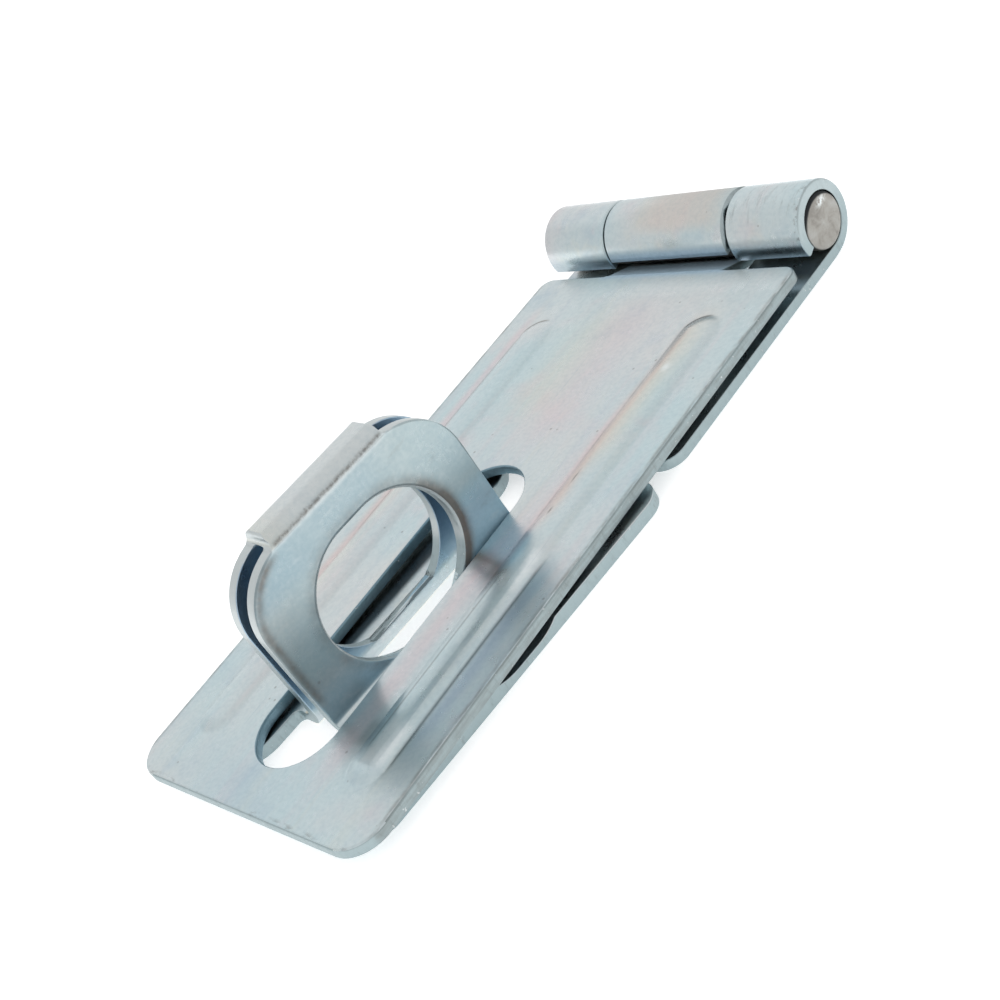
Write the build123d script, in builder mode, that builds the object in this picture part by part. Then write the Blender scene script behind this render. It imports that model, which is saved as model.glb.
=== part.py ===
# Safety hasp and staple in zinc-plated pressed steel, closed over its staple.
#
# Frame: Z = 0 is the face that the hasp is screwed to, X runs from the hinge
# to the free end of the strap and Y along the hinge pin. The origin is the
# middle of the hinge plate's three screw holes. All sizes are in millimetres
# and degrees, and lengths along the hasp are taken from the pin's axis.

import os
from math import cos, radians, sin

from build123d import *

os.makedirs("parts", exist_ok=True)

# Both leaves and the pin between them
leaf_width = 38.0

# Hinge pin and the knuckles rolled round it
pin_dia = 6.2
pin_clearance = 0.08  # radial, so that the strap swings freely
pin_overhang = 0.15  # past the knuckles at each end
pin_end_round = 0.5

# Fixed hinge plate
plate_sheet = 1.2
plate_gap = 1.1  # between the far edge and the staple's flange
plate_corner = 2.5
plate_lip_angle = -22.0  # where the rolled lip ends, from +X about the pin
notch_reach = 6.0  # depth of the gap that the strap's tab turns in
notch_corner = 1.0

# Strap, the moving leaf
strap_sheet = 1.2
strap_reach = 81.7  # pin axis to the front edge
strap_back = 6.2  # pin axis to the edge beside the tab
strap_drop = 2.05  # pin axis down to the strap's underside
strap_tilt = 0.6  # down towards the front
front_corner = 4.0
back_corner = 1.6
tab_width = 17.6
tab_offset = -0.1  # the tab sits a little off the strap's centre line
tab_slope = 21.5  # from the strap down to the rolled knuckle
tab_bend = 2.0  # inside radius where the tab bends out of the strap
tab_lip_angle = -4.5
side_gap_left = 0.2  # between the middle knuckle and its neighbours
side_gap_right = 0.6

# Slot in the strap
slot_width = 10.8
slot_start = 37.2  # pin axis to the slot's end by the hinge
slot_end = 76.7

# Pressed ribs, one on each side of the slot
rib_width = 5.0
rib_height = 0.55
rib_side = 12.4  # from the centre line to the middle of a rib
rib_start = 14.0
rib_end = 76.0

# Staple: one sheet folded flange, wall, cap, wall, flange
staple_sheet = 1.4
staple_turn = -4.3  # it sits a little askew in the slot
staple_along = 56.2  # place of its middle along its own length
staple_across = 6.0  # place of its middle across
staple_gap = 2.0  # between the two walls
staple_height = 20.5
flange_length = 43.0
flange_spread = 34.0  # over both flanges
flange_bend = 0.8  # inside radius between flange and wall
flange_corner = 3.0
flange_relief = 2.6  # flange edge back from the wall's face, past the wall's ends
relief_corner = 4.5
relief_root = 0.8
wall_length = 27.3
shoulder_round = 6.6
cap_length = 14.9
cap_rise = 1.5  # the fold stands this far above the shoulders
cap_bend = 0.4  # inside radius of the fold over the top
cap_root = 0.8  # hollow where the cap meets the shoulders
cap_end_round = 0.5

# Eye for the padlock, through both walls
eye_length = 17.2
eye_height = 14.4
eye_bottom = 0.8
eye_rise = 0.9  # the wall at the low Y side was punched this much higher
eye_sill = 1.5  # and its eye ends flat, this far above the other's bottom

# Screw holes, countersunk from above
screw_hole = 4.4
screw_head = 6.4
screw_cone = 90.0
plate_hole_count = 3
plate_hole_circle = 18.0
plate_hole_centre = 19.5  # pin axis to the middle of the circle
flange_hole_spacing = 27.0
flange_hole_edge = 6.6  # hole centre to the flange's outer edge

# Sizes that follow
bore_radius = pin_dia / 2 + pin_clearance
plate_knuckle = bore_radius + plate_sheet
strap_knuckle = bore_radius + strap_sheet
pin_height = plate_knuckle  # the plate lies on Z = 0 and rolls up tangent to it
notch_left = tab_offset - tab_width / 2 - side_gap_left
notch_right = tab_offset + tab_width / 2 + side_gap_right
plate_reach = staple_along - flange_length / 2 - plate_gap  # pin axis to the far edge
wall_outside = staple_gap / 2 + staple_sheet
shoulder_height = staple_height - cap_rise

# Planes of the hinge: a section across the pin, level and along the strap
tilt = radians(strap_tilt)
along_strap = Vector(cos(tilt), 0, -sin(tilt))
above_strap = Vector(sin(tilt), 0, cos(tilt))
pin_foot = Vector(-plate_hole_centre, 0, 0)
pin_centre = pin_foot + Vector(0, 0, pin_height)
plate_plane = Plane(origin=pin_foot)
plate_section = Plane(origin=pin_centre, x_dir=(1, 0, 0), z_dir=(0, -1, 0))
strap_section = Plane(origin=pin_centre, x_dir=along_strap, z_dir=(0, -1, 0))
strap_plane = Plane(origin=pin_centre, x_dir=along_strap, z_dir=above_strap)

# Planes of the staple: plan, side view of its walls and section across them
turn = radians(staple_turn)
along_staple = Vector(cos(turn), sin(turn), 0)
across_staple = Vector(-sin(turn), cos(turn), 0)
staple_middle = pin_foot + along_staple * staple_along + across_staple * staple_across
staple_plane = Plane(origin=staple_middle, x_dir=along_staple, z_dir=(0, 0, 1))
staple_side = Plane(origin=staple_middle, x_dir=along_staple, z_dir=-across_staple)
staple_section = Plane(origin=staple_middle, x_dir=across_staple, z_dir=along_staple)


def round_pin(radius, angle):
    """Point of a section at a radius and angle round the pin."""
    return (radius * cos(radians(angle)), radius * sin(radians(angle)))


def sloped_onto(radius, level):
    """Where a face of the tab's slope, tangent to a circle round the pin, meets a level."""
    slope = radians(tab_slope)
    return ((radius + level * cos(slope)) / sin(slope), level)


# Hinge pin
with BuildPart() as hinge_pin:
    with BuildSketch(plate_section):
        Circle(pin_dia / 2)
    extrude(amount=leaf_width / 2 + pin_overhang, both=True)
    fillet(hinge_pin.edges().filter_by(GeomType.CIRCLE), pin_end_round)

# Fixed plate: a flat leaf whose end rolls over the pin as two knuckles
with BuildPart() as hinge_plate:
    with BuildSketch(plate_section):
        with BuildLine():
            face = Line((plate_reach, -bore_radius), (0, -bore_radius))
            bore = CenterArc((0, 0), bore_radius, 270, plate_lip_angle - 270)
            outside = CenterArc((0, 0), plate_knuckle, plate_lip_angle, 270 - plate_lip_angle)
            back = Line((0, -plate_knuckle), (plate_reach, -plate_knuckle))
            Line(bore @ 1, outside @ 0)
            Line(back @ 1, face @ 0)
        make_face()
    extrude(amount=leaf_width / 2, both=True)
    fillet(hinge_plate.edges().filter_by(Axis.Z).group_by(Axis.X)[-1], plate_corner)
    with BuildSketch(plate_plane) as notch:
        with Locations((notch_reach, notch_left)):
            Rectangle(
                notch_reach + 2 * plate_knuckle,
                notch_right - notch_left,
                align=(Align.MAX, Align.MIN),
            )
        fillet(notch.vertices().group_by(Axis.X)[-1], notch_corner)
    extrude(amount=2 * pin_height, mode=Mode.SUBTRACT)
    with Locations((0, 0, plate_sheet)):
        with PolarLocations(plate_hole_circle / 2, plate_hole_count):
            CounterSinkHole(screw_hole / 2, screw_head / 2, plate_sheet, screw_cone)

# Shape of a rib: a long low dome with round ends, its middle at the origin
with BuildPart() as rib_form:
    rib_straight = rib_end - rib_start - rib_width
    half_rib = rib_width / 2
    with BuildSketch(Plane.YZ):
        with BuildLine():
            crown = ThreePointArc((-half_rib, 0), (0, rib_height), (half_rib, 0))
            Polyline(crown @ 1, (half_rib, -strap_sheet / 2), (-half_rib, -strap_sheet / 2), crown @ 0)
        make_face()
    extrude(amount=rib_straight / 2, both=True)
    for end in (-1, 1):
        rib_tip = Vector(end * rib_straight / 2, 0, 0)
        with BuildSketch(Plane.XZ.shift_origin(rib_tip)):
            with BuildLine():
                crown = ThreePointArc((-half_rib, 0), (0, rib_height), (half_rib, 0))
                Polyline(crown @ 1, (half_rib, -strap_sheet / 2), (-half_rib, -strap_sheet / 2), crown @ 0)
            make_face()
            split(bisect_by=Plane.YZ)
        revolve(axis=Axis(rib_tip, (0, 0, 1)))

# Strap: flat leaf, ribs, and a tab that slopes down and rolls round the pin
with BuildPart() as strap:
    with BuildSketch(strap_plane.offset(-strap_drop)) as leaf:
        with Locations((strap_back, 0)):
            Rectangle(strap_reach - strap_back, leaf_width, align=(Align.MIN, Align.CENTER))
        fillet(leaf.vertices().group_by(Axis.X)[0], back_corner)
        fillet(leaf.vertices().group_by(Axis.X)[-1], front_corner)
        with Locations(((slot_start + slot_end) / 2, 0)):
            SlotOverall(slot_end - slot_start, slot_width, mode=Mode.SUBTRACT)
    extrude(amount=strap_sheet)
    strap_top = strap_sheet - strap_drop
    rib_middle = (rib_start + rib_end) / 2
    with Locations(strap_plane.offset(strap_top)):
        with Locations((rib_middle, -rib_side), (rib_middle, rib_side)):
            add(rib_form.part)
    with Locations(strap_plane.offset(-strap_drop)):
        with Locations((rib_middle, -rib_side), (rib_middle, rib_side)):
            add(rib_form.part, mode=Mode.SUBTRACT)
    with BuildSketch(strap_section.offset(-tab_offset - tab_width / 2)):
        bend_top = sloped_onto(bore_radius, strap_top)
        bend_under = sloped_onto(strap_knuckle, -strap_drop)
        root = max(bend_top[0], bend_under[0]) + tab_bend + strap_sheet
        leave = 270 + tab_slope  # where the slope touches the pin's circles
        with BuildLine():
            upper = FilletPolyline(
                (root, strap_top),
                bend_top,
                round_pin(bore_radius, leave),
                radius=tab_bend + strap_sheet,
            )
            bore = CenterArc((0, 0), bore_radius, leave, tab_lip_angle - leave)
            outside = CenterArc((0, 0), strap_knuckle, tab_lip_angle, leave - tab_lip_angle)
            lower = FilletPolyline(
                round_pin(strap_knuckle, leave),
                bend_under,
                (root, -strap_drop),
                radius=tab_bend,
            )
            Line(bore @ 1, outside @ 0)
            Line(lower @ 1, upper @ 0)
        make_face()
    extrude(amount=tab_width)

# Staple: the folded section, trimmed to the outlines of its walls and flanges
with BuildPart() as staple:
    with BuildSketch(staple_section):
        inside = staple_gap / 2
        spread = flange_spread / 2
        with BuildLine():
            under = FilletPolyline(
                (-spread, 0),
                (-inside, 0),
                (-inside, staple_height - staple_sheet),
                (inside, staple_height - staple_sheet),
                (inside, 0),
                (spread, 0),
                radius=[flange_bend + staple_sheet, cap_bend, cap_bend, flange_bend + staple_sheet],
            )
            over = FilletPolyline(
                (-spread, staple_sheet),
                (-wall_outside, staple_sheet),
                (-wall_outside, staple_height),
                (wall_outside, staple_height),
                (wall_outside, staple_sheet),
                (spread, staple_sheet),
                radius=[flange_bend, cap_bend + staple_sheet, cap_bend + staple_sheet, flange_bend],
            )
            Line(under @ 0, over @ 0)
            Line(under @ 1, over @ 1)
        make_face()
    extrude(amount=flange_length / 2, both=True)
    with BuildSketch(staple_side) as profile:
        Rectangle(wall_length, shoulder_height, align=(Align.CENTER, Align.MIN))
        fillet(profile.vertices().group_by(Axis.Y)[-1], shoulder_round)
        Rectangle(cap_length, staple_height, align=(Align.CENTER, Align.MIN))
        fillet(profile.vertices().group_by(Axis.Y)[-2], cap_root)
        fillet(profile.vertices().group_by(Axis.Y)[-1], cap_end_round)
        Rectangle(flange_length, staple_sheet, align=(Align.CENTER, Align.MIN))
    extrude(amount=flange_spread, both=True, mode=Mode.INTERSECT)
    with BuildSketch(staple_plane) as plan:
        relief_width = 2 * (wall_outside + flange_relief)
        Rectangle(flange_length, flange_spread)
        fillet(plan.vertices(), flange_corner)
        with GridLocations(flange_length, 0, 2, 1):
            Rectangle(flange_length - wall_length, relief_width, mode=Mode.SUBTRACT)
        inner = plan.vertices().filter_by_position(Axis.Y, -relief_width / 2 - 0.01, relief_width / 2 + 0.01)
        fillet(inner.group_by(Axis.X)[0] + inner.group_by(Axis.X)[-1], relief_corner)
        inner = plan.vertices().filter_by_position(Axis.X, -wall_length / 2 - 0.01, wall_length / 2 + 0.01)
        fillet(inner, relief_root)
    extrude(amount=staple_height, mode=Mode.INTERSECT)
    with BuildSketch(staple_side):
        with Locations((0, eye_bottom + eye_height / 2)):
            SlotOverall(eye_length, eye_height)
    extrude(amount=-flange_spread, mode=Mode.SUBTRACT)
    with BuildSketch(staple_side):
        with Locations((0, eye_bottom + eye_rise + eye_height / 2)):
            SlotOverall(eye_length, eye_height)
        with Locations((0, eye_bottom + eye_sill)):
            Rectangle(eye_length, eye_height, align=(Align.CENTER, Align.MAX), mode=Mode.SUBTRACT)
    extrude(amount=flange_spread, mode=Mode.SUBTRACT)
    with Locations(staple_plane.offset(staple_sheet)):
        with GridLocations(flange_hole_spacing, flange_spread - 2 * flange_hole_edge, 2, 2):
            CounterSinkHole(screw_hole / 2, screw_head / 2, staple_sheet, screw_cone)

hinge_pin.part.label = "hinge_pin"
hinge_plate.part.label = "hinge_plate"
strap.part.label = "hasp_strap"
staple.part.label = "staple"

for piece in (hinge_pin, hinge_plate, strap, staple):
    export_step(piece.part, f"parts/{piece.part.label}.step")
    box = piece.part.bounding_box()
    print(piece.part.label, len(piece.part.solids()), round(piece.part.volume, 1), box.min, box.max)
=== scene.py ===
import math

import bmesh
import bpy
from bpy.props import FloatProperty, FloatVectorProperty, PointerProperty
from mathutils import Matrix, Quaternion, Vector
from mathutils.bvhtree import BVHTree


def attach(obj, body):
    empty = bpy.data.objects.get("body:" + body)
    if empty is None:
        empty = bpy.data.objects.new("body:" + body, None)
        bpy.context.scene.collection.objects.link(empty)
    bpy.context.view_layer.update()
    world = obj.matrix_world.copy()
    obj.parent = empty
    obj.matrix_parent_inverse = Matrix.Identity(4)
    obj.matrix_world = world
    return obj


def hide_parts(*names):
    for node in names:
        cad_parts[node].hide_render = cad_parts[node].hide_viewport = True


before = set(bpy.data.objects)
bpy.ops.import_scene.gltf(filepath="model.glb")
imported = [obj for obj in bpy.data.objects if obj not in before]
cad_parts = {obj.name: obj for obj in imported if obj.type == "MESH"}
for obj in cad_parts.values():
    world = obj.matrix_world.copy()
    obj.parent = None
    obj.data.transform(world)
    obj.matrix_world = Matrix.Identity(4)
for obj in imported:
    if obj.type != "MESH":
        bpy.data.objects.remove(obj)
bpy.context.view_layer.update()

bl_info = {
    "name": "Safety hasp and staple",
    "version": (1, 0, 0),
    "blender": (4, 5, 0),
    "location": "View3D > Sidebar > Hasp",
    "description": "Dresses a zinc-plated hasp closed over its staple and lights it for a picture",
    "category": "Object",
}

MM = 0.001
WELD = 1e-6
FLAT_ANGLE = math.radians(0.6)
SHARP_ANGLE = math.radians(40)
CREASE_ANGLE = math.radians(14)
CUT_MATERIAL = "zinc_cut"
SHEET, CUT = 0, 1
BEVEL_STEPS = 3

# A face whose normal rises by more than this is on top of its sheet
LEVEL = 0.9

# Where a ray into the sheet starts and how far it may go, as shares of the sheet's thickness
RAY_START = 0.01
RAY_REACH = 1.12

# The floor lies this far under the flanges, so that the two faces don't flicker
FLOOR_DROP = 1e-5
FLOOR_RADIUS = 3.0
FLOOR_SIDES = 64
SENSOR = 36.0
CLIP_START = 0.005

# The rest of the lengths at the top are millimetres in the solids' own frame

# Hinge: its pin, and how far from the pin's axis the outside of a knuckle begins
PIN_X = -19.5
PIN_Z = 4.38
KNUCKLE_OUTSIDE = 4.2
KNUCKLE_START = -14.5
PLATE_HOLES = 9.0
PLATE_TOP = 1.25

# Strap: its sheet and size, its fall along x, its ribs and the bend where its tab begins
LEAF_SHEET = 1.2
STRAP_TOP = 4.0
STRAP_END = 62.2
LEAF_HALF = 19.0
STRAP_FALL = math.sin(math.radians(0.6))
RIB_SIDE = 12.4
RIB_MIDDLE = 25.5
RIB_HALF = 28.5
RIB_ROUND = 2.5
RIBS_ALONG = (-6.5, 54.0)
RIBS_ACROSS = (9.0, 16.0)
TAB_SIDES = (8.9, 8.7)
TAB_HALF = 8.8
TAB_BEND_X = -13.2
TAB_BEND_Z = 3.3

# Staple: its place and turn, its walls, the padlock's eye and the flanges
STAPLE_SHEET = 1.4
STAPLE_TURN = math.radians(-4.3)
STAPLE_MIDDLE = Vector((36.991, 1.769, 0.0))
WALL_OUTSIDE = 2.4
WALL_MARGIN = 0.02
WALL_HALF = 13.65
SHOULDER_TOP = 19.0
SHOULDER_ROUND = 6.6
ABOVE_CAP = 21.0
EYE_MIDDLE = 8.0
EYE_FLAT = 1.4
EYE_REACH = 9.2
EYE_SIDE = 9.0
SILL_TOP = 2.45
RIM_START = 2.6
FADE_START = 2.3
FADE_HEIGHT = 4.5
FLANGE_HOLES = 13.5
FLANGE_TOP = 1.45

# Streaks of all the zinc: tone, the noise where they start and where they are full, amount
STREAKS = (
    ("rose", 0.50, 0.76, 0.32),
    ("straw", 0.52, 0.78, 0.30),
    ("blue", 0.52, 0.80, 0.35),
)
STREAK_ACROSS = 0.30
STREAK_ALONG = 0.022

# Coloured bands of the strap, film colours and one painted reflection: tone, middle across, half
# width, from and to along, amount
STRAP_BANDS = (
    ("peach", 10.9, 1.1, -4.0, 24.0, 0.68),
    ("rose", 9.9, 0.7, 8.0, 34.0, 0.50),
    ("straw", 12.2, 1.3, -5.0, 16.0, 0.32),
    ("rose", 1.0, 4.5, -8.0, 14.0, 0.40),
    ("straw", -4.0, 4.0, -6.0, 10.0, 0.28),
    ("peach", -15.0, 0.9, 14.0, 44.0, 0.50),
    ("rose", -14.9, 0.9, 14.0, 44.0, 0.50),
    ("rose", -15.6, 0.7, -6.0, 20.0, 0.60),
    ("straw", -13.6, 1.3, 16.0, 45.0, 0.22),
    ("rose", 7.8, 1.6, 26.0, 56.0, 0.50),
    # Painted reflection: the teal-grey band where the staple's near wall shows in the strap beside
    # the rib
    ("blue", 16.0, 1.1, 31.0, 51.0, 0.80),
    ("blue", -2.0, 9.0, 56.0, 64.0, 0.20),
)
BAND_ENDS = 4.0

# Small spots on the strap: tone, along, across, half length, half width, amount
STRAP_SPOTS = (
    ("bright", 3.0, 12.2, 0.55, 0.50, 0.70),
    ("stain_and_shade", 18.8, 11.2, 0.80, 0.13, 0.75),
    ("stain_and_shade", 23.4, 11.3, 0.40, 0.16, 0.75),
)


def length_size(name, description, millimetres):
    """A length that the sidebar shows, given in millimetres."""
    return FloatProperty(
        name=name,
        description=description,
        default=millimetres * MM,
        min=0.0,
        precision=5,
        unit="LENGTH",
    )


def strength(name, description, value):
    """A light's strength that the sidebar shows."""
    return FloatProperty(name=name, description=description, default=value, min=0.0)


def colour(name, description, value):
    """A colour that the sidebar shows."""
    return FloatVectorProperty(
        name=name, description=description, default=value, min=0.0, max=1.0, subtype="COLOR"
    )


def point(name, description, value):
    """A point that the sidebar shows, in metres."""
    return FloatVectorProperty(
        name=name,
        description=description,
        default=value,
        precision=5,
        subtype="TRANSLATION",
        unit="LENGTH",
    )


class HaspSizes(bpy.types.PropertyGroup):
    """How far the sheet's sharp corners are rounded"""

    burr_edge: length_size("Burr edge", "Round of the edges where the press left a burr", 0.12)
    rolled_edge: length_size("Rolled edge", "Round of the edges that the press rolled over", 0.26)
    eye_rim: length_size("Eye rim", "Roll of the sheet round the padlock's eye", 0.46)
    wall_rim: length_size("Wall rim", "Roll of the sheet round the staple's near wall", 0.30)
    far_rim: length_size("Far wall rim", "Roll of the sheet round the staple's far wall", 0.17)
    rib_foot: length_size("Rib foot", "Width of the blend at the foot of a rib", 0.35)


class HaspFinish(bpy.types.PropertyGroup):
    """Colours and gloss of the plating and of the bare pin, and the colours of painted light and
    shade
    """

    zinc: colour("Zinc", "Bright blue-white zinc", (0.560, 0.685, 0.715))
    # Also laid as painted light on the staple's cap and on the cut edges
    pale: colour("Pale zinc", "Zinc where the film is thin", (0.660, 0.700, 0.705))
    blue: colour("Blue film", "Zinc where the film turns blue", (0.390, 0.500, 0.600))
    rose: colour("Rose film", "Zinc where the film turns pink", (0.720, 0.585, 0.610))
    peach: colour("Peach film", "Zinc where the film turns orange", (0.690, 0.520, 0.450))
    straw: colour("Straw film", "Zinc where the film turns yellow", (0.720, 0.680, 0.540))
    # Painted shade: the zinc of the staple's upright walls, darker and bluer than on top; the cut
    # edges also take it in their mottle
    wall: colour("Wall zinc", "Zinc on the staple's walls", (0.400, 0.487, 0.503))
    # Laid as random darker grain, and as painted shade on the walls, low on the knuckles and in the
    # slot
    deep: colour("Deep zinc", "Zinc low on the staple's walls", (0.240, 0.375, 0.455))
    # Painted reflection: the bluish tint of the tab's slope and the knuckle's lip
    tab: colour("Tab zinc", "Zinc where the tab bends down to its knuckle", (0.540, 0.670, 0.760))
    # Painted reflection: the teal low on the staple's walls
    teal: colour("Teal film", "Zinc low on the wall beside the hinge", (0.380, 0.640, 0.800))
    # Painted shade: the blue tint inside the narrow gap between the staple's walls
    navy: colour("Gap zinc", "Zinc inside the narrow gap of the staple", (0.370, 0.500, 0.610))
    cut: colour("Cut edge", "Sheared edge of the sheet", (0.365, 0.450, 0.470))
    # Laid for stains and wear, and as painted shade on the staple's wall towards its free end and
    # round the eye on its hinge side
    stain_and_shade: colour("Stain", "Brown worn into the rolled rims", (0.168, 0.156, 0.142))
    # Laid for scuffs, for painted light on the strap, and for the glint on the pin
    bright: colour("Bright scuff", "Freshly scuffed metal", (0.850, 0.905, 0.915))
    # Painted shade: the dark colour laid in gaps, on the flanges under the strap and as dark
    # reflections in the strap
    painted_shade: colour("Grime", "Dirt on the flanges under the strap", (0.030, 0.036, 0.042))
    steel: colour("Bare steel", "End of the hinge pin", (0.350, 0.340, 0.315))
    gloss: FloatProperty(
        name="Roughness",
        description="Roughness of clean zinc",
        default=0.30,
        min=0.0,
        max=1.0,
        subtype="FACTOR",
    )


class HaspStage(bpy.types.PropertyGroup):
    """The camera, the floor and the lights"""

    camera_place: point("Camera place", "Where the camera stands", (0.08800, 0.11555, 0.07879))
    camera_aim: point(
        "Camera aim", "The point in the middle of the picture", (0.024052, 0.005728, 0.005)
    )
    camera_roll: FloatProperty(
        name="Camera roll",
        description="Turn of the camera about its own line of sight",
        default=math.radians(-34.77),
        subtype="ANGLE",
    )
    camera_lens: FloatProperty(
        name="Lens",
        description="Focal length in millimetres on a 36 mm sensor",
        default=53.995,
        min=1.0,
        unit="CAMERA",
    )
    floor: colour("Floor", "Colour of the plain floor", (0.92, 0.92, 0.92))
    sky: strength("Room light", "Strength of the even white room", 0.80)
    glow: strength("Floor glow", "Light that the pale floor lets through", 0.55)
    back: strength("Back light", "Power of the soft box that the flats mirror, in watts", 0.28)
    back_place: point("Back light place", "Where the soft box stands", (-0.42, -0.72, 0.48))
    back_aim: point("Back light aim", "The point that the soft box faces", (0.02, 0.0, 0.0))
    back_size: length_size("Back light size", "Side of the square soft box", 900.0)


class Wire:
    """A shader node's output, so that sums on it are written with Python's own signs."""

    def __init__(self, finish, socket):
        self.finish = finish
        self.socket = socket

    def math(self, operation, first, second=None):
        """A new maths node on one or two values."""
        sockets = {0: first} if second is None else {0: first, 1: second}
        return self.finish.node("ShaderNodeMath", {"operation": operation}, sockets)

    def __add__(self, other):
        return self.math("ADD", self, other)

    __radd__ = __add__

    def __sub__(self, other):
        return self.math("SUBTRACT", self, other)

    def __rsub__(self, other):
        return self.math("SUBTRACT", other, self)

    def __mul__(self, other):
        return self.math("MULTIPLY", self, other)

    __rmul__ = __mul__

    def __truediv__(self, other):
        return self.math("DIVIDE", self, other)

    def __neg__(self):
        return self * -1

    def __abs__(self):
        return self.math("ABSOLUTE", self)

    def sign(self):
        """-1 below zero and 1 above it."""
        return self.math("SIGN", self)

    def power_of_e(self):
        """The number e raised to this value."""
        return self.math("EXPONENT", self)

    def or_zero(self):
        """This value where it is above zero, and zero elsewhere."""
        return self.math("MAXIMUM", self, 0.0)

    def diagonal(self, other):
        """Length of the diagonal over two distances."""
        return self.math("SQRT", self * self + other * other)


class Finish:
    """A surface built node by node, in the colours of look.

    Its places and lengths are in millimetres in the solids' frame, and its amounts and masks
    run from 0 to 1.
    """

    def __init__(self, name, look=None, metallic=1.0):
        self.look = look
        self.shade = None
        self.material = bpy.data.materials.new(name)
        self.material.use_nodes = True
        self.tree = self.material.node_tree
        self.shader = self.tree.nodes["Principled BSDF"]
        self.set("Metallic", metallic)
        metres = self.node("ShaderNodeTexCoord", output="Object")
        self.place = self.node(
            "ShaderNodeVectorMath", {"operation": "SCALE"}, {"Vector": metres, "Scale": 1 / MM}
        )
        self.x, self.y, self.z = self.split(self.place)

    def node(self, kind, settings=None, sockets=None, output=0):
        """A new node of a kind, with its settings and then its sockets filled."""
        made = self.tree.nodes.new(kind)
        for name, value in (settings or {}).items():
            setattr(made, name, value)
        for name, value in (sockets or {}).items():
            if isinstance(value, Wire):
                self.tree.links.new(value.socket, made.inputs[name])
            else:
                made.inputs[name].default_value = value
        return Wire(self, made.outputs[output])

    def split(self, vector):
        """The three parts of a vector."""
        first = self.node("ShaderNodeSeparateXYZ", None, {"Vector": vector})
        outputs = first.socket.node.outputs
        return tuple(Wire(self, outputs[axis]) for axis in "XYZ")

    def scaled(self, scale):
        """The place, stretched, so that a pattern on it is 1/scale millimetres long each way."""
        return self.node(
            "ShaderNodeVectorMath",
            {"operation": "MULTIPLY"},
            {0: self.place, 1: scale if hasattr(scale, "__len__") else (scale,) * 3},
        )

    def noise(self, scale, detail=2.0, roughness=0.5, seed=0.0, warp=0.0):
        """Soft noise from 0 to 1 with one scale or a scale per axis, and a seed of its own."""
        return self.node(
            "ShaderNodeTexNoise",
            {"noise_dimensions": "4D"},
            {
                "Vector": self.scaled(scale),
                "W": seed,
                "Scale": 1.0,
                "Detail": detail,
                "Roughness": roughness,
                "Distortion": warp,
            },
        )

    def patches(self, low, high, *noise):
        """Noise eased into patches with clear ground between them."""
        return self.ease(self.noise(*noise), low, high)

    def specks(self, scale, radius, kept):
        """Small round specks: scale is the cells per millimetre, kept the share that shows."""
        settings = {"feature": "F1", "voronoi_dimensions": "3D"}
        sockets = {"Vector": self.place, "Scale": scale}
        spot = self.node("ShaderNodeTexVoronoi", settings, sockets)
        tint = Wire(self, spot.socket.node.outputs["Color"])
        chosen = self.ease(self.split(tint)[0], kept, kept * 0.9)
        return self.ease(spot, radius, radius * 0.4) * chosen

    def ease(self, value, low, high):
        """0 at low and 1 at high, with a soft start and end."""
        return self.node(
            "ShaderNodeMapRange",
            {"interpolation_type": "SMOOTHSTEP"},
            {"Value": value, "From Min": low, "From Max": high},
        )

    def band(self, value, middle, half_width):
        """A soft band round a middle value."""
        off = (value - middle) / half_width
        return (-(off * off)).power_of_e()

    def span(self, value, low, high, soft):
        """1 between two values and 0 outside them, with soft ends."""
        return self.ease(value, low - soft, low + soft) * self.ease(value, high + soft, high - soft)

    def colour(self, tone):
        """One of the look's colours with full alpha."""
        return (*getattr(self.look, tone), 1.0)

    def blend(self, first, second, amount):
        """Makes the shade a mix of two of the look's colours."""
        self.mix(self.colour(first), self.colour(second), amount)

    def lay(self, tone, amount):
        """Lays one of the look's colours over the shade."""
        self.mix(self.shade, self.colour(tone), amount)

    def mix(self, first, second, amount):
        """Makes the shade a mix of two colours."""
        self.shade = self.node(
            "ShaderNodeMix",
            {"data_type": "RGBA", "clamp_factor": True},
            {0: amount, 6: first, 7: second},
            output=2,
        )

    def set(self, socket, value):
        """Fills one socket of the surface shader."""
        if isinstance(value, Wire):
            self.tree.links.new(value.socket, self.shader.inputs[socket])
        else:
            self.shader.inputs[socket].default_value = value

    def relief(self, height):
        """Gives the surface a relief whose height is in millimetres."""
        self.set("Normal", self.node("ShaderNodeBump", None, {"Distance": MM, "Height": height}))

    def done(self):
        """The material, with its shade as the base colour."""
        self.set("Base Color", self.shade)
        return self.material


def cloudy_zinc(finish, along, seed):
    """The zinc before its own marks: clouds, and streaks drawn out along one axis of the sheet."""
    broad = finish.noise(0.045, 3, 0.55, seed, 0.4)
    finish.blend("zinc", "pale", finish.ease(broad, 0.35, 0.65))
    drawn = [STREAK_ACROSS] * 3
    drawn[along] = STREAK_ALONG
    for step, (tone, low, high, amount) in enumerate(STREAKS, 1):
        finish.lay(tone, finish.patches(low, high, drawn, 3, 0.6, seed + step, 0.25) * amount)
    dapple = finish.noise(0.13, 3, 0.6, seed + 4)
    finish.lay("blue", finish.ease(dapple, 0.54, 0.76) * 0.42)
    finish.lay("rose", finish.ease(dapple, 0.46, 0.24) * 0.34)


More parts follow.
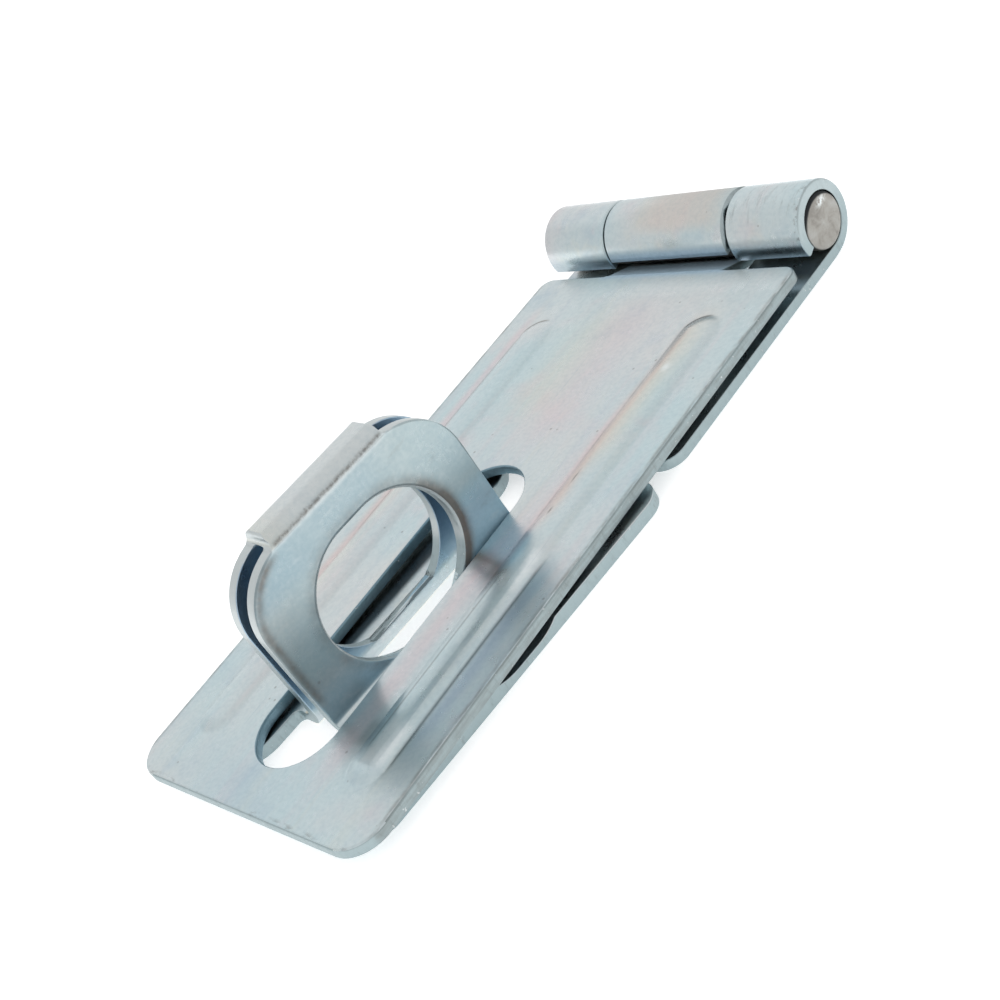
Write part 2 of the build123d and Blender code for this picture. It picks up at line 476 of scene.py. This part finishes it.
def surface_marks(finish, seed, dull=0.0):
    """Specks, hairline scratches, gloss and relief that all the zinc has."""
    specks = finish.specks(0.75, 0.16, 0.10)
    hairs = finish.patches(0.66, 0.74, (0.09, 3.4, 3.4), 2, 0.5, seed + 12)
    fine = finish.noise(2.2, 2, 0.5, seed + 14)
    finish.lay("stain_and_shade", specks * 0.45)
    finish.lay("deep", hairs * 0.16)
    finish.lay("deep", finish.ease(fine, 0.36, 0.80) * 0.14)
    finish.lay("bright", finish.ease(fine, 0.64, 0.20) * 0.06)
    cloud = finish.noise(0.35, 3, 0.6, seed + 15)
    roughness = finish.look.gloss + (cloud - 0.5) * 0.18 + (fine - 0.5) * 0.10 + dull
    finish.set("Roughness", roughness)
    swell = finish.noise(0.09, 2, 0.5, seed + 16) * 0.05
    ripple = finish.noise(0.55, 2, 0.5, seed + 17) * 0.004
    grain = fine * 0.0006
    finish.relief(swell + ripple + grain - hairs * 0.001)


def strap_bands(finish):
    """The film's coloured bands, and one band of painted reflection, which waver a little along the
    strap.
    """
    waver = (finish.noise((0.06, 0.2, 0.2), 2, 0.5, 8.0) - 0.5) * 1.8
    side = finish.y + waver
    for tone, middle, half_width, start, end, amount in STRAP_BANDS:
        reach = finish.band(side, middle, half_width) * finish.span(finish.x, start, end, BAND_ENDS)
        finish.lay(tone, reach * amount)


def rib_lines(finish, on_top):
    """The worn lines that follow the outlines of the ribs, and a painted dark reflection of the
    staple's near wall along the near foot of a rib.
    """
    x, y = finish.x, finish.y
    reach = (abs(x - RIB_MIDDLE) - RIB_HALF).or_zero()
    from_rib = reach.diagonal(abs(y) - RIB_SIDE) - RIB_ROUND
    far_side = finish.ease(y - y.sign() * RIB_SIDE, 0.6, -0.6)
    worn = finish.patches(0.35, 0.65, (0.25, 0.6, 0.6), 3, 0.6, 9.0) * 0.6 + 0.4
    far_line = finish.band(from_rib, 0.0, 0.17) * far_side * finish.span(x, -6.5, 29.0, 2.0) * worn
    hook = finish.band(from_rib, 0.0, 0.20) * far_side * finish.ease(x, -3.2, -4.2)
    # Painted reflection: a dark line where the staple's near wall shows along the near foot of the
    # rib on the +y side
    wall_reflection_line = finish.band(from_rib, 0.03, 0.20) * (1 - far_side)
    wall_reflection_line = wall_reflection_line * finish.span(x, 29.5, 53.5, 1.5) * finish.ease(y, 0.0, 1.0)
    finish.lay("stain_and_shade", on_top * (far_line * 0.40 + hook * 0.60))
    finish.lay("painted_shade", on_top * wall_reflection_line * 0.55)


def strap_marks(finish, on_top):
    """The painted dark reflection of the staple's near wall in the strap, the small spots, and
    painted light beside the staple's legs and by the tab's bend.
    """
    x, y, z = finish.x, finish.y, finish.z
    # Painted reflection: the dark line and dark ends where the staple's near wall shows in the
    # strap
    line = finish.band(y, 11.25, 0.16) * finish.span(x, 32.0, 52.3, 0.8)
    under_legs = finish.span(x, 30.0, 32.2, 0.7) + finish.span(x, 49.6, 52.2, 0.7)
    mirrored = line * 0.40 + under_legs * finish.span(y, 8.8, 11.0, 0.5) * 0.30
    finish.lay("painted_shade", on_top * mirrored)
    for tone, spot_x, spot_y, length, width, amount in STRAP_SPOTS:
        spot = finish.band(x, spot_x, length) * finish.band(y, spot_y, width)
        finish.lay(tone, on_top * spot * amount)
    # Painted light: paler patches beside the staple's legs and by the tab's bend
    beside_legs = finish.span(x, 28.5, 33.0, 1.0) + finish.span(x, 49.5, 54.0, 1.0)
    by_bend = finish.span(x, -13.0, -9.5, 1.2) * finish.ease(z, 3.0, 3.2)
    clear = beside_legs * finish.span(y, 11.7, 14.3, 0.4) * 0.75
    clear = clear + by_bend * finish.ease(y, -14.0, 2.0) * 0.28
    finish.lay("bright", on_top * clear)


def tab_mask(finish):
    """Where the tab slopes down to its knuckle, and the lip that the knuckle ends in, which take a
    painted reflection.
    """
    x, y, z = finish.x, finish.y, finish.z
    slope = finish.span(x, -17.0, -12.7, 0.5) * finish.ease(z, 4.2, 3.6)
    slope = slope * finish.ease(abs(y), 9.8, 9.0)
    lip = finish.ease(z, 5.8, 4.6) * finish.ease(x, -17.0, -15.8) * finish.ease(x, -14.4, -14.8)
    return slope + lip * (1 - slope)


def strap_zinc(look):
    """Zinc of the strap, with coloured bands beside its ribs, painted reflections and painted
    light.
    """
    finish = Finish("zinc_strap", look)
    x, y, z = finish.x, finish.y, finish.z
    on_top = finish.ease(z + x * STRAP_FALL, 2.65, 2.95)
    cloudy_zinc(finish, along=0, seed=3.0)
    strap_bands(finish)
    rib_lines(finish, on_top)
    strap_marks(finish, on_top)
    tab = tab_mask(finish)
    # Painted reflection: the tab's slope and the knuckle's lip tinted bluer
    finish.lay("tab", tab)
    edge_wear = finish.patches(0.3, 0.65, (0.4, 1.5, 1.5), 3, 0.6, 10.0)
    end_wear = finish.patches(0.52, 0.68, (1.5, 0.5, 1.5), 3, 0.6, 11.0)
    long_edges = finish.band(abs(y), LEAF_HALF - 0.28, 0.28) * edge_wear
    free_end = finish.band(x, STRAP_END - 0.3, 0.35) * end_wear
    finish.lay("stain_and_shade", long_edges * 0.58 + free_end * 0.45)
    knuckle_top = finish.ease(z, 6.5, 8.0) * finish.span(y, -3.5, 8.0, 2.5)
    finish.lay("straw", knuckle_top * 0.45)
    finish.lay("rose", knuckle_top * 0.30)
    surface_marks(finish, 3.0, tab * 0.45)
    return finish.done()


def plate_zinc(look):
    """Zinc of the hinge plate, with painted blue shade low on its knuckles, and worn on top of
    them.
    """
    finish = Finish("zinc_plate", look)
    x, y, z = finish.x, finish.y, finish.z
    cloudy_zinc(finish, along=0, seed=21.0)
    barrel = finish.ease(x, -14.0, -15.0)
    worn = finish.patches(0.50, 0.74, (0.35, 1.6, 0.35), 4, 0.65, 23.0)
    worn = worn * finish.ease(z, 6.2, 8.4) * finish.ease(y, 8.0, 9.5)
    low = finish.ease(z, 5.6, 3.6) * finish.ease(x, -18.0, -16.0)
    near_tab = finish.span(y, -15.0, -8.0, 1.5) + finish.ease(y, 9.0, 10.0)
    scuff = finish.noise(1.3, 3, 0.65, 24.0)
    at_end = finish.ease(y, 17.9, 18.7) * barrel
    finish.lay("rose", finish.ease(y, -16.0, -18.5) * 0.22)
    finish.lay("stain_and_shade", at_end * finish.ease(scuff, 0.52, 0.66) * 0.55)
    finish.lay("bright", at_end * finish.ease(scuff, 0.40, 0.34) * 0.85)
    # Painted shade: bluer and darker low on the knuckles beside the tab and towards the knuckle's
    # end at -y
    finish.lay("blue", barrel * low * near_tab * 0.7)
    finish.lay("deep", barrel * low * finish.ease(y, -13.0, -16.0) * 0.45)
    finish.lay("stain_and_shade", barrel * worn * 0.42)
    surface_marks(finish, 21.0)
    return finish.done()


def staple_axes(finish):
    """Distances along, across and up the staple, which sits askew in the slot."""
    east, north = finish.x - STAPLE_MIDDLE.x, finish.y - STAPLE_MIDDLE.y
    cosine, sine = math.cos(STAPLE_TURN), math.sin(STAPLE_TURN)
    return east * cosine + north * sine, north * cosine - east * sine, finish.z


def painted_wall_shade(finish, along, up, on_wall, blotch, sole):
    """Painted shade on the staple's walls, deeper towards their foot, with painted teal reflections
    low down.
    """
    # Painted shade: the walls darker and bluer, deeper towards their foot
    fall = finish.ease(up + (blotch - 0.5) * 11.0, 17.5, 3.0)
    finish.lay("wall", on_wall * 0.85)
    finish.lay("deep", on_wall * fall * 0.42)
    # Painted shade: darker towards the free end, low on the wall
    free_end = finish.ease(along + (blotch - 0.5) * 4.0, 5.0, 12.5) * finish.ease(up, 18.5, 12.0)
    finish.lay("stain_and_shade", on_wall * free_end * 0.30)
    # Painted reflection: teal low on the wall towards the hinge, towards the free end and along the
    # sole
    to_hinge = finish.ease(up, 9.5, 7.0) * finish.ease(along, 2.0, -6.0) * 0.60
    to_end = finish.ease(up, 6.0, 3.5) * finish.ease(along, 2.0, 7.0) * 0.30
    finish.lay("teal", on_wall * (to_hinge + to_end + sole * 0.35))
    # Painted shade: darker high on the wall
    upper = finish.ease(along, -8.0, -2.0) * 0.8 + finish.ease(along, 3.0, 8.0) * 0.4
    upper = finish.ease(up, 13.6, 16.2) * upper
    finish.lay("deep", on_wall * upper * 0.36)


def cap_film_and_painted_light(finish, along, up, blotch):
    """Painted light on the cap where the sheet folds over, with painted shade a little darker down
    its sides and a straw film towards the free end.
    """
    on_cap = finish.ease(up, 18.9, 19.1)
    cap_side = finish.ease(up + (blotch - 0.5) * 1.2, 20.3, 19.2)
    finish.lay("pale", on_cap * 0.7)
    finish.lay("wall", on_cap * cap_side * 0.22)
    finish.lay("straw", on_cap * finish.ease(along, 3.0, 8.0) * 0.25)


def staple_stains_and_shade(finish, along, up, on_wall):
    """Brown round the eye, along the free end's rim and under the fold, with painted shade round
    the eye on its hinge side.
    """
    patchy = finish.patches(0.30, 0.70, 0.5, 3, 0.6, 45.0)
    from_eye = (abs(along) - EYE_FLAT).or_zero().diagonal(up - EYE_MIDDLE)
    # Painted shade: darker round the eye on its hinge side
    hinge_side = finish.ease(along, -2.0, -8.0) * finish.ease(up, 16.0, 9.0)
    halo = finish.band(from_eye, 7.65, 0.75) * (patchy * 0.25 + hinge_side * 0.8 + 0.20)
    side_in = (abs(along) - WALL_HALF + SHOULDER_ROUND).or_zero()
    top_in = (up - SHOULDER_TOP + SHOULDER_ROUND).or_zero()
    from_rim = SHOULDER_ROUND - side_in.diagonal(top_in)
    rim = finish.band(from_rim, 0.50, 0.45) * finish.ease(along, 7.0, 9.0)
    rim = rim * finish.ease(up, 3.0, 6.0)
    speckle = finish.patches(0.35, 0.65, 2.6, 3, 0.7, 46.0)
    fold = finish.band(up, 19.24, 0.23) * finish.span(along, -7.3, 7.3, 0.3) * (speckle * 0.6 + 0.4)
    return on_wall * halo + on_wall * rim * (patchy * 0.40 + 0.50) + fold * 0.85


def staple_zinc(look):
    """Zinc of the staple: painted shade on the walls, in the gap and on the flanges under the
    strap, painted light on the cap and the far bend, browned round the eye and under the fold.
    """
    finish = Finish("zinc_staple", look)
    cloudy_zinc(finish, along=2, seed=41.0)
    along, across, up = staple_axes(finish)
    on_wall = finish.span(abs(across), 1.7, WALL_OUTSIDE + 0.1, 0.1)
    on_wall = on_wall * finish.span(up, 1.5, 18.8, 0.4)
    in_gap = finish.ease(abs(across), 1.6, 1.3) * finish.span(up, 2.5, 18.7, 0.4)
    foot = on_wall * finish.ease(up, 6.0, 3.5)
    sole = finish.ease(up, 4.2, 3.0) * finish.ease(abs(along), 10.0, 7.5)
    bend = finish.span(abs(across), 2.45, 3.5, 0.15) * finish.ease(up, 2.3, 2.1)
    far_bend = bend * finish.ease(across, 0.0, -1.0)
    under_strap = finish.span(abs(across), 5.2, 7.8, 0.5) * finish.span(up, 1.0, 1.5, 0.05)
    blotch = finish.noise(0.16, 3, 0.55, 44.0)
    brush = finish.noise((0.35, 0.35, 0.9), 4, 0.62, 47.0)
    painted_wall_shade(finish, along, up, on_wall, blotch, sole)
    cap_film_and_painted_light(finish, along, up, blotch)
    # Painted shade: the blue tint in the gap between the walls
    finish.lay("navy", in_gap * 0.9)
    # Painted light: the cream band on the far wall's bend
    finish.lay("straw", far_bend * 0.85)
    finish.lay("stain_and_shade", on_wall * finish.ease(brush, 0.54, 0.80) * 0.22)
    finish.lay("pale", on_wall * finish.ease(brush, 0.46, 0.24) * 0.22)
    # Painted shade: the flanges' tops under the strap
    finish.lay("painted_shade", under_strap * 0.92)
    finish.lay("stain_and_shade", staple_stains_and_shade(finish, along, up, on_wall))
    finish.set("Metallic", 1 - far_bend * 0.6 - foot * 0.35 - on_wall * sole * 0.3)
    surface_marks(finish, 41.0, foot * 0.30)
    return finish.done()


def cut_zinc(look):
    """Sheared edges of the sheet: darker, rough, with painted glints, painted shade in the slot and
    painted light higher up and on the staple.
    """
    finish = Finish(CUT_MATERIAL, look)
    x, y, z = finish.x, finish.y, finish.z
    torn = finish.noise((2.2, 2.2, 0.7), 3, 0.65, 62.0)
    glint = finish.patches(0.66, 0.72, 1.7, 2, 0.7, 63.0)
    worn = finish.patches(0.35, 0.65, (0.3, 1.0, 2.0), 3, 0.6, 64.0)
    finish.blend("cut", "wall", finish.patches(0.3, 0.7, 0.5, 3, 0.6, 61.0) * 0.5)
    finish.lay("stain_and_shade", finish.ease(torn, 0.55, 0.78) * 0.28)
    # Painted highlight: the staple's cut edges lighter
    on_staple = finish.ease(z, 4.4, 5.4) * finish.ease(x, 10.0, 12.0)
    finish.lay("pale", on_staple * 0.75)
    # Painted shade: the cut faces inside the slot darker
    from_staple = abs(x - STAPLE_MIDDLE.x)
    past_ends = finish.ease(from_staple, 14.3, 14.8)
    beside = finish.ease(abs(y), 4.7, 5.2)
    in_slot = past_ends + beside * (1 - past_ends)
    in_slot = in_slot * finish.ease(from_staple, 22.5, 21.5)
    in_slot = in_slot * finish.ease(abs(y), 8.5, 7.5) * finish.span(z, 1.5, 4.4, 0.05)
    finish.lay("deep", in_slot * 0.85)
    long_edge = finish.ease(abs(y), 18.6, 18.8) * finish.ease(z, 1.5, 1.6)
    long_edge = long_edge * finish.ease(x, -14.0, -12.5)
    finish.lay("stain_and_shade", long_edge * (worn * 0.25 + 0.15))
    # Painted light: lighter the higher the edge stands, then painted glints
    finish.lay("pale", finish.ease(z, 3.0, 7.0) * 0.25)
    finish.lay("pale", glint * 0.8)
    finish.set("Roughness", 0.42 + (torn - 0.5) * 0.35)
    finish.relief(torn * 0.05 + glint * 0.02)
    return finish.done()


def cut_edges(look):
    """The cut edges' material, made by the first piece that needs it."""
    return bpy.data.materials.get(CUT_MATERIAL) or cut_zinc(look)


def bare_steel(look):
    """Bare end of the pin: mottled, warm, lightly pitted, with a painted dark crescent of shade in
    the gap under its rim.
    """
    finish = Finish("bare_steel", look)
    mottle = finish.noise(0.55, 4, 0.62, 71.0, 0.5)
    pits = finish.patches(0.62, 0.75, 3.0, 3, 0.6, 72.0)
    finish.blend("steel", "pale", finish.ease(mottle, 0.45, 0.75) * 0.35)
    finish.lay("stain_and_shade", finish.ease(mottle, 0.50, 0.30) * 0.55)
    finish.lay("stain_and_shade", pits * 0.4)
    side, rise = finish.x - PIN_X, finish.z - PIN_Z
    # Painted shade: a dark crescent in the gap at the pin's rim
    crescent = finish.ease(side.diagonal(rise + 0.42), 3.02, 3.22)
    scuffed = finish.band(side + rise * 0.25, -0.2, 0.75) * finish.band(rise, 2.0, 0.42)
    glint = scuffed * finish.patches(0.42, 0.56, 2.2, 3, 0.7, 73.0)
    finish.lay("bright", glint * 0.9)
    finish.lay("painted_shade", crescent * 0.92)
    roughness = 0.40 + (mottle - 0.5) * 0.3 + pits * 0.2 - glint * 0.15 + crescent * 0.4
    finish.set("Roughness", roughness)
    finish.relief(mottle * 0.10 - pits * 0.02)
    return finish.done()


def mark_cut_faces(bm, sheet):
    """Gives the cut material to the faces that the sheet lies edgeways behind."""
    bm.normal_update()
    tree = BVHTree.FromBMesh(bm)
    for face in bm.faces:
        start = face.calc_center_median() - face.normal * sheet * RAY_START
        far = tree.ray_cast(start, -face.normal)[3]
        face.material_index = SHEET if far is not None and far < sheet * RAY_REACH else CUT


def part_holes(bm, lines):
    """Cuts the faces below a height along upright planes, so that no face has a hole in it."""
    for place, normal, ceiling in lines:
        faces = [face for face in bm.faces if max(vert.co.z for vert in face.verts) < ceiling * MM]
        edges = {edge for face in faces for edge in face.edges}
        verts = {vert for edge in edges for vert in edge.verts}
        cut = bmesh.ops.bisect_plane(
            bm,
            geom=[*verts, *edges, *faces],
            dist=WELD / 10,
            plane_co=Vector(place) * MM,
            plane_no=normal,
        )
        for made in cut["geom_cut"]:
            if isinstance(made, bmesh.types.BMEdge):
                made.seam = True


def dress(node, body, materials, sheet, lines, round_of, slide=False):
    """Shows a solid as a piece of its own, its corners rounded by round_of in metres.

    With slide, the rounds run along the edges that they meet rather than keep even widths.
    """
    bm = bmesh.new()
    bm.from_mesh(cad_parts[node].data)
    bmesh.ops.remove_doubles(bm, verts=bm.verts, dist=WELD)
    mark_cut_faces(bm, sheet * MM)
    part_holes(bm, lines)
    bmesh.ops.dissolve_limit(
        bm,
        angle_limit=FLAT_ANGLE,
        use_dissolve_boundaries=False,
        verts=bm.verts,
        edges=bm.edges,
        delimit={"MATERIAL", "SEAM"},
    )
    bm.normal_update()
    weights = bm.edges.layers.float.new("bevel_weight_edge")
    for edge in bm.edges:
        edge[weights] = round_of(edge, edge.calc_face_angle(0.0))
    widest = max(edge[weights] for edge in bm.edges)
    for edge in bm.edges:
        edge[weights] /= widest
    mesh = bpy.data.meshes.new(node + "_skin")
    bm.to_mesh(mesh)
    bm.free()
    for material in materials:
        mesh.materials.append(material)
    mesh.shade_smooth()
    piece = bpy.data.objects.new(node + "_skin", mesh)
    bpy.context.scene.collection.objects.link(piece)
    corners = piece.modifiers.new("rounded corners", "BEVEL")
    corners.limit_method = "WEIGHT"
    corners.width = widest
    corners.segments = BEVEL_STEPS
    corners.use_clamp_overlap = False
    corners.loop_slide = slide
    normals = piece.modifiers.new("flat faces", "WEIGHTED_NORMAL")
    normals.mode = "FACE_AREA"
    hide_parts(node)
    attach(piece, body)


def middle_of(edge):
    """Middle of an edge in millimetres."""
    return (edge.verts[0].co + edge.verts[1].co) / (2 * MM)


def on_knuckle(spot):
    """Whether a point lies on the outside of the hinge's knuckles."""
    return math.hypot(spot.x - PIN_X, spot.z - PIN_Z) > KNUCKLE_OUTSIDE


class HASP_OT_strap(bpy.types.Operator):
    """Dress the hinged strap with its slot and ribs"""

    bl_idname = "hasp.strap"
    bl_label = "Strap"

    def execute(self, context):
        sizes, look = context.scene.hasp_sizes, context.scene.hasp_finish

        def round_of(edge, angle):
            spot = middle_of(edge)
            if spot.x < TAB_BEND_X and spot.z > TAB_BEND_Z and abs(spot.y) < TAB_HALF:
                return 0.0
            if angle > SHARP_ANGLE and spot.x < KNUCKLE_START:
                return sizes.rolled_edge if on_knuckle(spot) else sizes.burr_edge
            if angle > SHARP_ANGLE:
                upper = max(face.normal.z for face in edge.link_faces) > LEVEL
                return sizes.rolled_edge if upper else sizes.burr_edge
            along_rib = RIBS_ALONG[0] < spot.x < RIBS_ALONG[1]
            by_rib = along_rib and RIBS_ACROSS[0] < abs(spot.y) < RIBS_ACROSS[1]
            return sizes.rib_foot if by_rib and angle > CREASE_ANGLE else 0.0

        materials = [strap_zinc(look), cut_edges(look)]
        lines = [((0, y, 0), (0, 1, 0), STRAP_TOP) for y in (-TAB_SIDES[0], 0, TAB_SIDES[1])]
        dress("hasp_strap", "strap", materials, LEAF_SHEET, lines, round_of)
        return {"FINISHED"}


class HASP_OT_plate(bpy.types.Operator):
    """Dress the fixed hinge plate with its two knuckles"""

    bl_idname = "hasp.plate"
    bl_label = "Hinge plate"

    def execute(self, context):
        sizes, look = context.scene.hasp_sizes, context.scene.hasp_finish

        def round_of(edge, angle):
            if angle < SHARP_ANGLE:
                return 0.0
            spot = middle_of(edge)
            rolled = spot.x < KNUCKLE_START and on_knuckle(spot)
            return sizes.rolled_edge if rolled else sizes.burr_edge

        materials = [plate_zinc(look), cut_edges(look)]
        lines = [((x, 0, 0), (1, 0, 0), PLATE_TOP) for x in (PLATE_HOLES, -PLATE_HOLES / 2)]
        dress("hinge_plate", "base", materials, LEAF_SHEET, lines, round_of)
        return {"FINISHED"}


class HASP_OT_staple(bpy.types.Operator):
    """Dress the folded staple with its padlock eye"""

    bl_idname = "hasp.staple"
    bl_label = "Staple"

    def execute(self, context):
        sizes, look = context.scene.hasp_sizes, context.scene.hasp_finish
        to_staple = Matrix.Rotation(-STAPLE_TURN, 3, "Z")

        def round_of(edge, angle):
            if angle < SHARP_ANGLE:
                return 0.0
            along, across, up = to_staple @ (middle_of(edge) - STAPLE_MIDDLE)
            if across < 0 and up < SILL_TOP and abs(along) < EYE_SIDE:
                return 0.0
            outside = abs(abs(across) - WALL_OUTSIDE) < WALL_MARGIN
            if not outside or up < RIM_START:
                return sizes.burr_edge
            at_eye = math.hypot(max(abs(along) - EYE_FLAT, 0.0), up - EYE_MIDDLE) < EYE_REACH
            if not at_eye or abs(along) > EYE_SIDE:
                return sizes.wall_rim if across > 0 else sizes.far_rim
            # The roll fades evenly towards the sill, because a sudden change would fold the face
            fade = min((up - FADE_START) / FADE_HEIGHT, 1.0)
            return sizes.burr_edge + (sizes.eye_rim - sizes.burr_edge) * fade

        materials = [staple_zinc(look), cut_edges(look)]
        along = to_staple.inverted() @ Vector((1, 0, 0))
        holes = [STAPLE_MIDDLE + along * offset for offset in (-FLANGE_HOLES, FLANGE_HOLES)]
        lines = [(hole, along, FLANGE_TOP) for hole in holes]
        lines.append((STAPLE_MIDDLE, along, ABOVE_CAP))
        dress("staple", "base", materials, STAPLE_SHEET, lines, round_of, slide=True)
        return {"FINISHED"}


class HASP_OT_pin(bpy.types.Operator):
    """Dress the hinge pin"""

    bl_idname = "hasp.pin"
    bl_label = "Hinge pin"

    def execute(self, context):
        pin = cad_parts["hinge_pin"]
        pin.data.materials.clear()
        pin.data.materials.append(bare_steel(context.scene.hasp_finish))
        return {"FINISHED"}


def facing(place, aim):
    """The turn that makes a camera or a lamp at a place look at a point."""
    return (Vector(aim) - Vector(place)).to_track_quat("-Z", "Y")


def lay_floor(stage):
    """A plain floor that glows a little, as paper lit from below does."""
    bm = bmesh.new()
    bmesh.ops.create_circle(bm, cap_ends=True, segments=FLOOR_SIDES, radius=FLOOR_RADIUS)
    mesh = bpy.data.meshes.new("floor")
    bm.to_mesh(mesh)
    bm.free()
    floor = bpy.data.objects.new("floor", mesh)
    floor.location.z = -FLOOR_DROP
    bpy.context.scene.collection.objects.link(floor)
    paper = Finish("floor", metallic=0.0)
    paper.set("Base Color", (*stage.floor, 1.0))
    paper.set("Roughness", 0.9)
    paper.set("Emission Color", (*stage.floor, 1.0))
    paper.set("Emission Strength", stage.glow)
    mesh.materials.append(paper.material)


def light_room(stage):
    """An even white room and one soft box behind the hasp."""
    world = bpy.data.worlds.new("room")
    world.use_nodes = True
    background = world.node_tree.nodes["Background"]
    background.inputs["Color"].default_value = (1, 1, 1, 1)
    background.inputs["Strength"].default_value = stage.sky
    bpy.context.scene.world = world
    data = bpy.data.lights.new("back", "AREA")
    data.size = stage.back_size
    data.energy = stage.back
    lamp = bpy.data.objects.new("back", data)
    lamp.location = stage.back_place
    lamp.rotation_mode = "QUATERNION"
    lamp.rotation_quaternion = facing(stage.back_place, stage.back_aim)
    bpy.context.scene.collection.objects.link(lamp)


def place_camera(stage):
    """The camera at the photograph's viewing angle."""
    data = bpy.data.cameras.new("camera")
    data.lens = stage.camera_lens
    data.sensor_width = SENSOR
    data.clip_start = CLIP_START
    camera = bpy.data.objects.new("camera", data)
    level = facing(stage.camera_place, stage.camera_aim)
    camera.location = stage.camera_place
    camera.rotation_mode = "QUATERNION"
    camera.rotation_quaternion = level @ Quaternion((0, 0, 1), stage.camera_roll)
    bpy.context.scene.collection.objects.link(camera)
    bpy.context.scene.camera = camera


class HASP_OT_stage(bpy.types.Operator):
    """Set the floor, the soft lights and the camera"""

    bl_idname = "hasp.stage"
    bl_label = "Stage"

    def execute(self, context):
        stage = context.scene.hasp_stage
        lay_floor(stage)
        light_room(stage)
        place_camera(stage)
        context.scene.view_settings.view_transform = "Standard"
        return {"FINISHED"}


class HASP_PT_sidebar(bpy.types.Panel):
    """Lists the hasp's sizes, finish and stage, with a button for each piece"""

    bl_idname = "HASP_PT_sidebar"
    bl_label = "Hasp"
    bl_space_type = "VIEW_3D"
    bl_region_type = "UI"
    bl_category = "Hasp"

    def draw(self, context):
        for operator in OPERATORS:
            self.layout.operator(operator.bl_idname)
        for attribute in GROUPS:
            box = self.layout.box()
            group = getattr(context.scene, attribute)
            for name in group.bl_rna.properties.keys():
                if name not in {"rna_type", "name"}:
                    box.prop(group, name)


OPERATORS = (HASP_OT_strap, HASP_OT_plate, HASP_OT_staple, HASP_OT_pin, HASP_OT_stage)
GROUPS = {"hasp_sizes": HaspSizes, "hasp_finish": HaspFinish, "hasp_stage": HaspStage}


def register():
    """Registers the classes and hangs the property groups on the scene."""
    for made in (*GROUPS.values(), *OPERATORS, HASP_PT_sidebar):
        bpy.utils.register_class(made)
    for name, group in GROUPS.items():
        setattr(bpy.types.Scene, name, PointerProperty(type=group))


def unregister():
    """Takes back what register did."""
    for name in GROUPS:
        delattr(bpy.types.Scene, name)
    for made in (HASP_PT_sidebar, *reversed(OPERATORS), *GROUPS.values()):
        bpy.utils.unregister_class(made)


def main():
    """Makes the pieces and the stage in order."""
    register()
    bpy.ops.hasp.strap()
    bpy.ops.hasp.plate()
    bpy.ops.hasp.staple()
    bpy.ops.hasp.pin()
    bpy.ops.hasp.stage()


if __name__ == "__main__":
    main()
